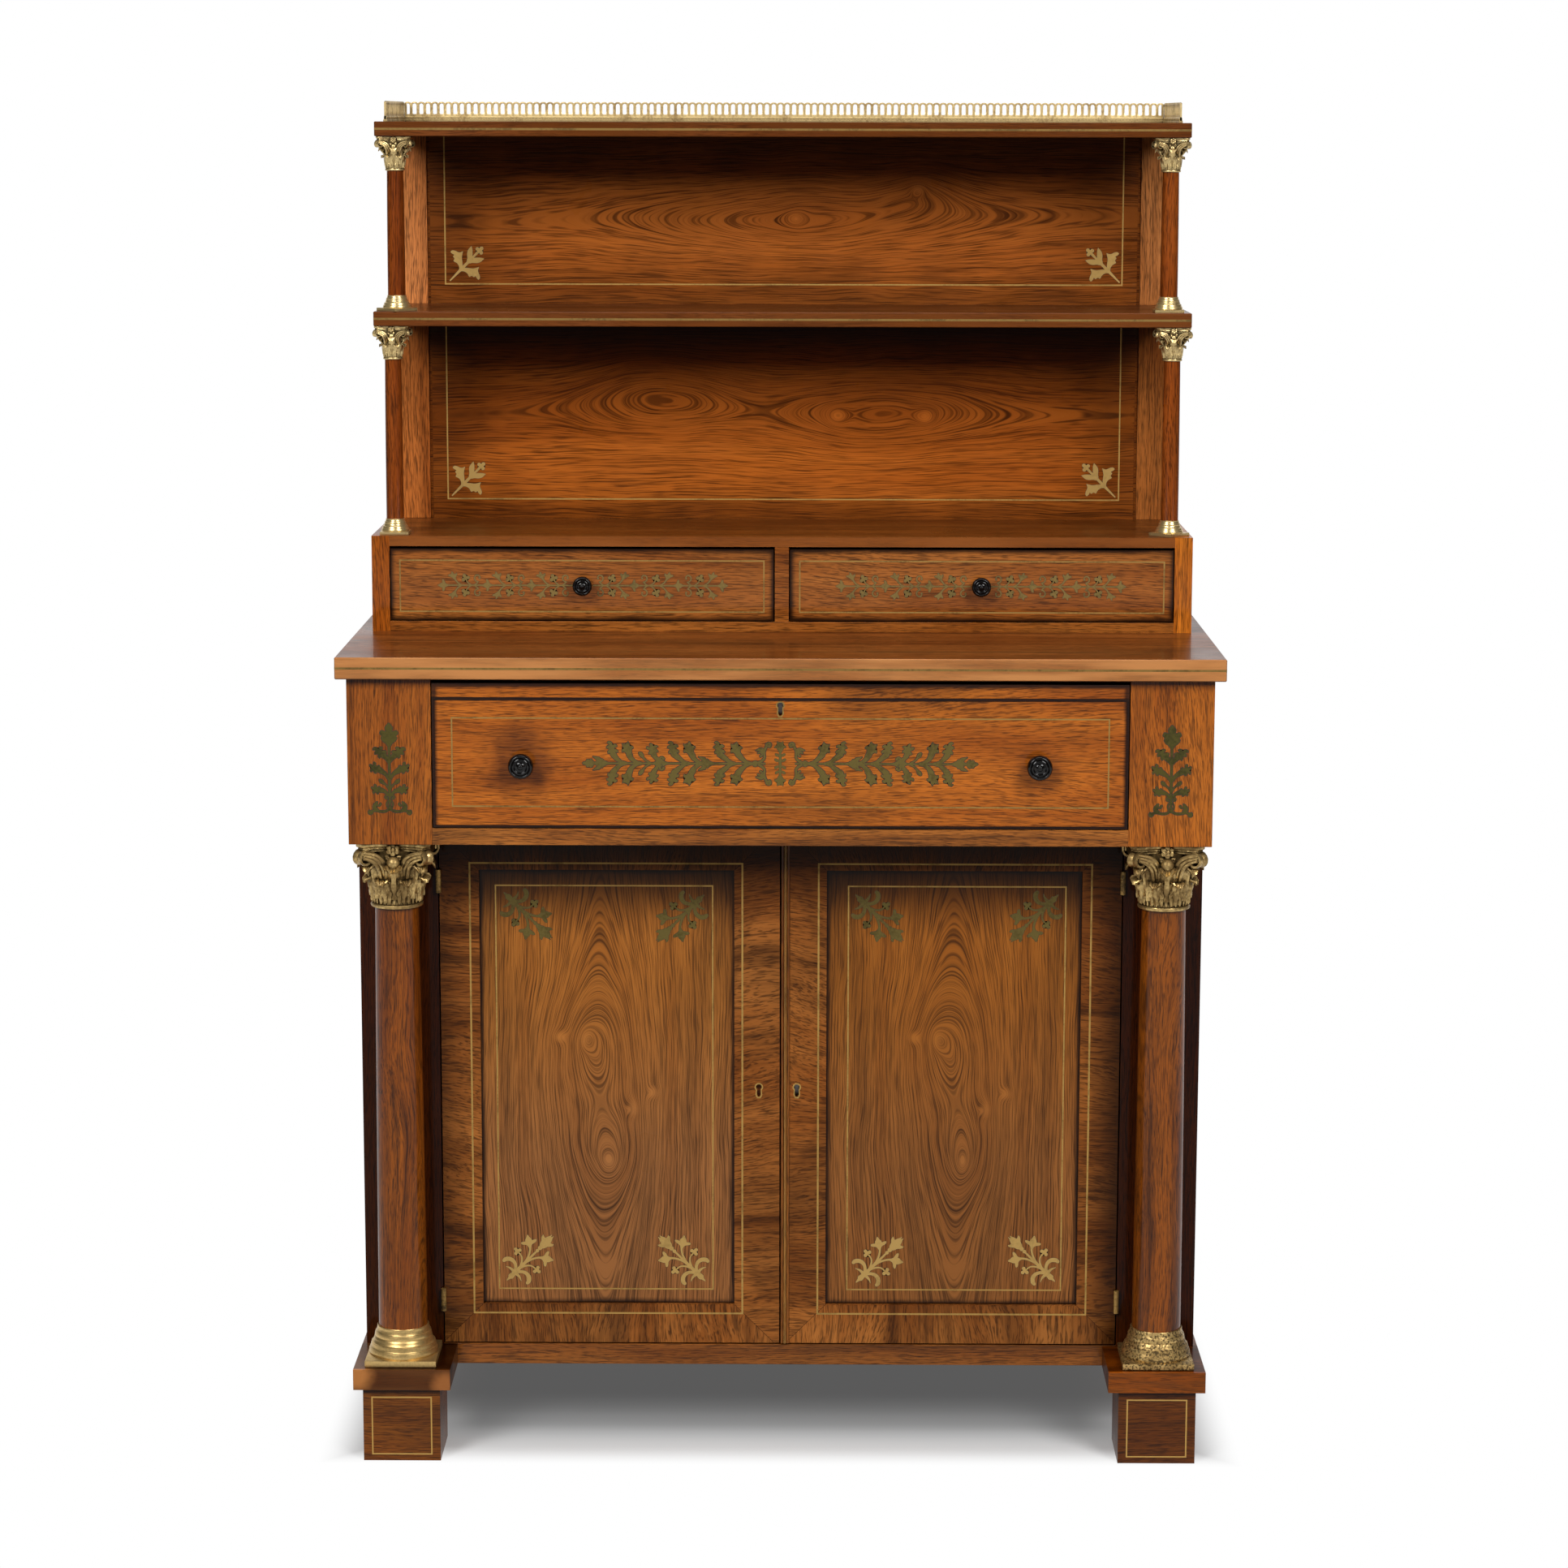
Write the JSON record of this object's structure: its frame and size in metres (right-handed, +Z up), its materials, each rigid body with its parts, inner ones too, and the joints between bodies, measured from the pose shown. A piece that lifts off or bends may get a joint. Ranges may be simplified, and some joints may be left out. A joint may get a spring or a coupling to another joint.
{
  "type": "chiffonier",
  "caption": "Brass-inlaid rosewood chiffonier with a galleried two-tier shelf on columns, small drawers, a deep frieze drawer and a panelled cupboard behind columns",
  "frame": {"origin": "on the floor, in the middle of the whole width and of the whole depth over the drawer knobs", "axes": "+Z up, +X to the right of a viewer who faces the front, and the front faces -Y"},
  "size_m": [0.96, 0.449, 1.4987],
  "materials": {
    "top_rosewood": "polished rosewood, a little bleached",
    "post_rosewood": "polished rosewood, upright grain",
    "rosewood": "polished rosewood veneer",
    "panel_rosewood": "polished figured rosewood",
    "shelf_rosewood": "polished rosewood",
    "drawer_rosewood": "polished rosewood, level grain",
    "door_rosewood": "crossbanded rosewood",
    "column_rosewood": "turned and polished rosewood",
    "carcase_wood": "plain unpolished pine",
    "drawer_lining": "plain mahogany",
    "brass": "antique gilt brass",
    "inlay_brass": "flush polished brass",
    "ebony": "ebonised and polished",
    "steel": "filed steel and brass lock"
  },
  "bodies": {
    "carcase": {"top_board": "top_rosewood", "frieze_posts": "post_rosewood", "frieze_rail": "rosewood", "dust_board": "carcase_wood", "drawer_runners": "carcase_wood", "side_right": "rosewood", "side_left": "rosewood", "front_stiles": "rosewood", "plinth_board": "rosewood", "plinth_pads": "rosewood", "front_feet": "rosewood", "rear_feet": "carcase_wood", "back_boards": "carcase_wood", "cupboard_shelf": "carcase_wood", "shelf_battens": "carcase_wood", "large_columns": "column_rosewood", "large_bases": "brass", "large_capitals": "brass", "fixed_hinges": "brass", "case_ends": "rosewood", "case_bottom": "rosewood", "case_divider": "rosewood", "ledge_board": "shelf_rosewood", "back_stiles": "rosewood", "lower_back_panel": "panel_rosewood", "upper_back_panel": "panel_rosewood", "middle_shelf": "shelf_rosewood", "top_shelf": "shelf_rosewood", "small_columns": "column_rosewood", "small_bases": "brass", "small_capitals": "brass", "gallery": "brass", "edge_stringing": "inlay_brass", "shelf_back_stringing": "inlay_brass"},
    "frieze_drawer": {"frieze_drawer_front": "drawer_rosewood", "frieze_drawer_bead": "drawer_rosewood", "frieze_drawer_box": "drawer_lining", "frieze_drawer_knobs": "ebony", "frieze_drawer_inlay": "inlay_brass", "frieze_drawer_lock": "steel"},
    "frieze_bolt": {"frieze_lock_bolt": "steel"},
    "right_drawer": {"right_drawer_front": "drawer_rosewood", "right_drawer_box": "drawer_lining", "right_drawer_knob": "ebony", "right_drawer_stringing": "inlay_brass"},
    "left_drawer": {"left_drawer_front": "drawer_rosewood", "left_drawer_box": "drawer_lining", "left_drawer_knob": "ebony", "left_drawer_stringing": "inlay_brass"},
    "right_door": {"right_door_frame": "door_rosewood", "right_door_panel": "panel_rosewood", "right_door_inlay": "inlay_brass", "right_door_hinges": "brass", "right_door_lock": "steel", "meeting_bead": "door_rosewood"},
    "left_door": {"left_door_frame": "door_rosewood", "left_door_panel": "panel_rosewood", "left_door_inlay": "inlay_brass", "left_door_hinges": "brass"},
    "door_bolt": {"right_door_bolt": "steel"}
  },
  "joints": [
    {"name": "frieze_drawer_slide", "type": "slide", "parent": "carcase", "child": "frieze_drawer", "axis": [0, -1, 0], "range_m": [0, 0.28]},
    {"name": "frieze_bolt_slide", "type": "slide", "parent": "frieze_drawer", "child": "frieze_bolt", "axis": [0, 0, 1], "range_m": [0, 0.008]},
    {"name": "right_drawer_slide", "type": "slide", "parent": "carcase", "child": "right_drawer", "axis": [0, -1, 0], "range_m": [0, 0.14]},
    {"name": "left_drawer_slide", "type": "slide", "parent": "carcase", "child": "left_drawer", "axis": [0, -1, 0], "range_m": [0, 0.14]},
    {"name": "right_door_hinge", "type": "hinge", "parent": "carcase", "child": "right_door", "pos_m": [0.38075, -0.1089, 0.4], "axis": [0, 0, 1], "range_deg": [0, 90]},
    {"name": "left_door_hinge", "type": "hinge", "parent": "carcase", "child": "left_door", "pos_m": [-0.38075, -0.1089, 0.4], "axis": [0, 0, -1], "range_deg": [0, 90]},
    {"name": "door_bolt_slide", "type": "slide", "parent": "right_door", "child": "door_bolt", "axis": [-1, 0, 0], "range_m": [0, 0.008]}
  ]
}
